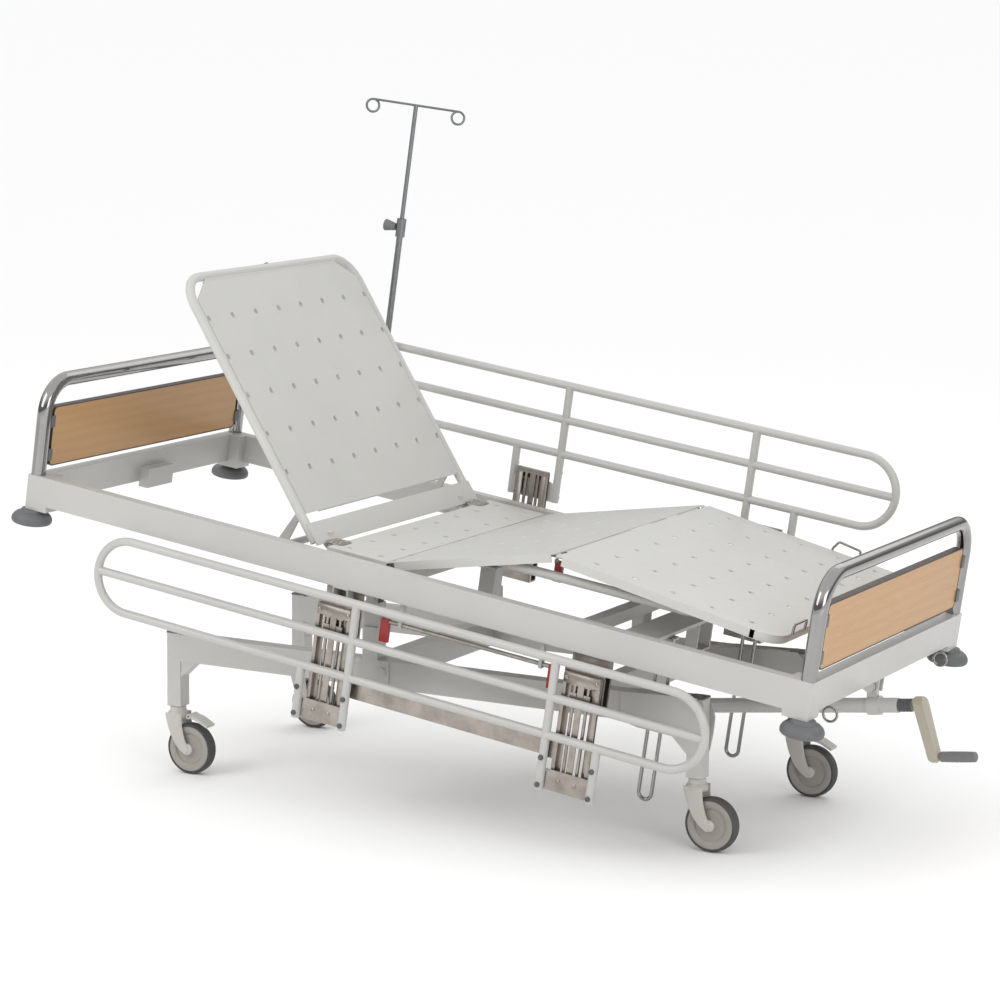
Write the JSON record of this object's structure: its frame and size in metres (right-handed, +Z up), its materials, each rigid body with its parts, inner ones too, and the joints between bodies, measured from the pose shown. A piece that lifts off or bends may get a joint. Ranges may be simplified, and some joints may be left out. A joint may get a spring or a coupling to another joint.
{
  "type": "adjustable ward bed",
  "caption": "Tilting ward bed with folding perforated deck, telescopic side rails, castor base, crank and drip pole.",
  "frame": {"origin": "floor point under the middle of the whole bed", "axes": "+X towards the foot end, +Y towards the side with the drip pole, +Z up"},
  "size_m": [2.3044, 0.9658, 1.6114],
  "materials": {
    "painted_steel": "smooth light grey-white powder coat",
    "deck_steel": "warm white powder coat",
    "chrome_tube": "polished",
    "zinc": "dull zinc plate",
    "beech": "satin beech laminate",
    "bumper_grey": "moulded grey plastic",
    "castor_plastic": "moulded light grey plastic",
    "castor_tread": "dark grey rubber",
    "black_plastic": "black moulding",
    "red_plastic": "red moulding",
    "clip_grey": "grey moulding",
    "pole_steel": "fine brushed stainless",
    "crank_cream": "cream moulding",
    "grip_grey": "grey moulding",
    "dark_steel": "dark grey paint"
  },
  "bodies": {
    "base": {"base_frame": "painted_steel", "tilt_pivot_posts": "painted_steel", "leg_caps": "clip_grey"},
    "upper_frame": {"side_beam_near": "painted_steel", "side_beam_far": "painted_steel", "end_beam_head": "painted_steel", "end_beam_foot": "painted_steel", "cross_members": "painted_steel", "corner_bumpers": "bumper_grey", "head_hoop": "chrome_tube", "foot_hoop": "chrome_tube", "head_panel": "beech", "foot_panel": "beech", "panel_clips": "clip_grey", "rail_brackets": "zinc", "bag_hooks": "chrome_tube", "corner_rings": "chrome_tube", "seat_section": "deck_steel", "thigh_post": "painted_steel", "pole_tube": "pole_steel"},
    "backrest": {"backrest_frame": "deck_steel", "backrest_sheet": "deck_steel"},
    "lift_arms": {"backrest_lift_arms": "painted_steel"},
    "thigh": {"thigh_section": "deck_steel"},
    "calf": {"calf_section": "deck_steel", "mattress_retainers": "chrome_tube"},
    "calf_support": {"calf_support_frame": "painted_steel"},
    "ratchet_tube": {"ratchet_outer": "zinc"},
    "ratchet_bar": {"ratchet_inner": "dark_steel"},
    "thigh_rod": {"thigh_lift_rod": "chrome_tube"},
    "near_carriage_body": {"near_carriage": "zinc"},
    "near_rail_body": {"near_rail": "painted_steel", "near_rail_sliders": "black_plastic"},
    "far_carriage_body": {"far_carriage": "zinc"},
    "far_rail_body": {"far_rail": "painted_steel", "far_rail_sliders": "black_plastic"},
    "near_release": {"near_release_shaft": "zinc", "near_release_levers": "red_plastic"},
    "far_release": {"far_release_shaft": "zinc", "far_release_levers": "red_plastic"},
    "pole_extension": {"pole_rod": "pole_steel"},
    "pole_clamp_knob": {"pole_knob": "grip_grey"},
    "screw_tube": {"screw_housing": "painted_steel"},
    "screw_spindle": {"screw_rod": "chrome_tube"},
    "crank": {"crank_arm": "crank_cream"},
    "crank_handle": {"crank_grip": "grip_grey"},
    "castor_nh": {"castor_fork_nh": "castor_plastic"},
    "wheel_nh": {"castor_wheel_nh": "castor_plastic", "castor_tyre_nh": "castor_tread"},
    "pedal_nh": {"brake_pedal_nh": "castor_plastic"},
    "castor_fh": {"castor_fork_fh": "castor_plastic"},
    "wheel_fh": {"castor_wheel_fh": "castor_plastic", "castor_tyre_fh": "castor_tread"},
    "castor_nf": {"castor_fork_nf": "castor_plastic"},
    "wheel_nf": {"castor_wheel_nf": "castor_plastic", "castor_tyre_nf": "castor_tread"},
    "castor_ff": {"castor_fork_ff": "castor_plastic"},
    "wheel_ff": {"castor_wheel_ff": "castor_plastic", "castor_tyre_ff": "castor_tread"},
    "pedal_ff": {"brake_pedal_ff": "castor_plastic"}
  },
  "joints": [
    {"name": "tilt", "type": "hinge", "parent": "base", "child": "upper_frame", "pos_m": [-0.2302, 0, 0.4917], "axis": [0, 1, 0], "range_deg": [-17.8, 2.2]},
    {"name": "castor_swivel_nh", "type": "hinge", "parent": "base", "child": "castor_nh", "pos_m": [-0.7826, -0.283, 0.165], "axis": [0, 0, 1], "continuous": true},
    {"name": "wheel_spin_nh", "type": "hinge", "parent": "castor_nh", "child": "wheel_nh", "pos_m": [-0.7436, -0.283, 0.0625], "axis": [0, 1, 0], "continuous": true},
    {"name": "brake_nh", "type": "hinge", "parent": "castor_nh", "child": "pedal_nh", "pos_m": [-0.7426, -0.283, 0.143], "axis": [0, 1, 0], "range_deg": [0, 8]},
    {"name": "castor_swivel_fh", "type": "hinge", "parent": "base", "child": "castor_fh", "pos_m": [-0.7826, 0.283, 0.165], "axis": [0, 0, 1], "continuous": true},
    {"name": "wheel_spin_fh", "type": "hinge", "parent": "castor_fh", "child": "wheel_fh", "pos_m": [-0.7436, 0.283, 0.0625], "axis": [0, 1, 0], "continuous": true},
    {"name": "castor_swivel_nf", "type": "hinge", "parent": "base", "child": "castor_nf", "pos_m": [0.6034, -0.283, 0.165], "axis": [0, 0, 1], "continuous": true},
    {"name": "wheel_spin_nf", "type": "hinge", "parent": "castor_nf", "child": "wheel_nf", "pos_m": [0.6424, -0.283, 0.0625], "axis": [0, 1, 0], "continuous": true},
    {"name": "castor_swivel_ff", "type": "hinge", "parent": "base", "child": "castor_ff", "pos_m": [0.6034, 0.283, 0.165], "axis": [0, 0, 1], "continuous": true},
    {"name": "wheel_spin_ff", "type": "hinge", "parent": "castor_ff", "child": "wheel_ff", "pos_m": [0.6424, 0.283, 0.0625], "axis": [0, 1, 0], "continuous": true},
    {"name": "brake_ff", "type": "hinge", "parent": "castor_ff", "child": "pedal_ff", "pos_m": [0.6434, 0.283, 0.143], "axis": [0, 1, 0], "range_deg": [0, 8]},
    {"name": "backrest_hinge", "type": "hinge", "parent": "upper_frame", "child": "backrest", "pos_m": [-0.33477, 0, 0.61001], "axis": [0, 1, 0], "range_deg": [-50.3, 9.7]},
    {"name": "lift_arm_hinge", "type": "hinge", "parent": "upper_frame", "child": "lift_arms", "pos_m": [-0.45383, 0, 0.59497], "axis": [0, 1, 0], "range_deg": [-100.6, 19.4]},
    {"name": "thigh_hinge", "type": "hinge", "parent": "upper_frame", "child": "thigh", "pos_m": [-0.13439, 0, 0.58963], "axis": [0, -1, 0], "range_deg": [-16, 24]},
    {"name": "knee_hinge", "type": "hinge", "parent": "thigh", "child": "calf", "pos_m": [0.30064, 0, 0.65005], "axis": [0, -1, 0], "range_deg": [-32.7, 21.8]},
    {"name": "calf_support_hinge", "type": "hinge", "parent": "thigh", "child": "calf_support", "pos_m": [0.14336, 0, 0.6182], "axis": [0, -1, 0], "range_deg": [-24, 16]},
    {"name": "ratchet_hinge", "type": "hinge", "parent": "upper_frame", "child": "ratchet_tube", "pos_m": [0.31959, 0, 0.39421], "axis": [0, -1, 0], "range_deg": [-12.6, 18.8]},
    {"name": "ratchet_slide", "type": "slide", "parent": "ratchet_tube", "child": "ratchet_bar", "axis": [0.8902, 0, 0.4556], "range_m": [-0.0267, 0.04]},
    {"name": "thigh_rod_slide", "type": "slide", "parent": "upper_frame", "child": "thigh_rod", "axis": [0.1357, 0, 0.9907], "range_m": [-0.0199, 0.0299]},
    {"name": "near_carriage_slide", "type": "slide", "parent": "upper_frame", "child": "near_carriage_body", "axis": [0.1357, 0, 0.9907], "range_m": [0, 0.203]},
    {"name": "near_rail_slide", "type": "slide", "parent": "near_carriage_body", "child": "near_rail_body", "axis": [0.1357, 0, 0.9907], "range_m": [0, 0.203]},
    {"name": "near_release_turn", "type": "hinge", "parent": "upper_frame", "child": "near_release", "pos_m": [-0.09462, -0.429, 0.46508], "axis": [0.9907, 0, -0.1357], "range_deg": [0, 25]},
    {"name": "far_carriage_slide", "type": "slide", "parent": "upper_frame", "child": "far_carriage_body", "axis": [0.1357, 0, 0.9907], "range_m": [-0.203, 0]},
    {"name": "far_rail_slide", "type": "slide", "parent": "far_carriage_body", "child": "far_rail_body", "axis": [0.1357, 0, 0.9907], "range_m": [-0.203, 0]},
    {"name": "far_release_turn", "type": "hinge", "parent": "upper_frame", "child": "far_release", "pos_m": [-0.09462, 0.429, 0.46508], "axis": [-0.9907, 0, 0.1357], "range_deg": [0, 25]},
    {"name": "pole_slide", "type": "slide", "parent": "upper_frame", "child": "pole_extension", "axis": [0.1357, 0, 0.9907], "range_m": [-0.24, 0.1]},
    {"name": "pole_knob_turn", "type": "hinge", "parent": "upper_frame", "child": "pole_clamp_knob", "pos_m": [-0.60764, 0.433, 1.28832], "axis": [-0.9907, 0, 0.1357], "continuous": true},
    {"name": "screw_tube_hinge", "type": "hinge", "parent": "upper_frame", "child": "screw_tube", "pos_m": [0.90276, 0, 0.3557], "axis": [0, 1, 0], "range_deg": [-12.1, 1.5]},
    {"name": "screw_slide", "type": "slide", "parent": "screw_tube", "child": "screw_spindle", "axis": [0.9929, 0, 0.1187], "range_m": [-0.1482, 0.0184]},
    {"name": "crank_turn", "type": "hinge", "parent": "screw_tube", "child": "crank", "pos_m": [1.0014, 0, 0.32], "axis": [0.9929, 0, 0.1187], "continuous": true},
    {"name": "crank_grip_turn", "type": "hinge", "parent": "crank", "child": "crank_handle", "pos_m": [1.11061, 0, 0.21522], "axis": [0.9929, 0, 0.1187], "continuous": true}
  ],
  "couplings": [
    {"joint": "lift_arm_hinge", "follows": "backrest_hinge", "ratio": 2},
    {"joint": "knee_hinge", "follows": "thigh_hinge", "ratio": -1.3625},
    {"joint": "calf_support_hinge", "follows": "thigh_hinge", "ratio": -1},
    {"joint": "ratchet_hinge", "follows": "thigh_hinge", "ratio": 0.7796},
    {"joint": "ratchet_slide", "follows": "thigh_hinge", "m_per_rad": 0.09515},
    {"joint": "thigh_rod_slide", "follows": "thigh_hinge", "m_per_rad": 0.071},
    {"joint": "near_rail_slide", "follows": "near_carriage_slide", "ratio": 1},
    {"joint": "far_rail_slide", "follows": "far_carriage_slide", "ratio": 1},
    {"joint": "screw_tube_hinge", "follows": "tilt", "ratio": 0.67668},
    {"joint": "screw_slide", "follows": "tilt", "m_per_rad": 0.4768}
  ]
}
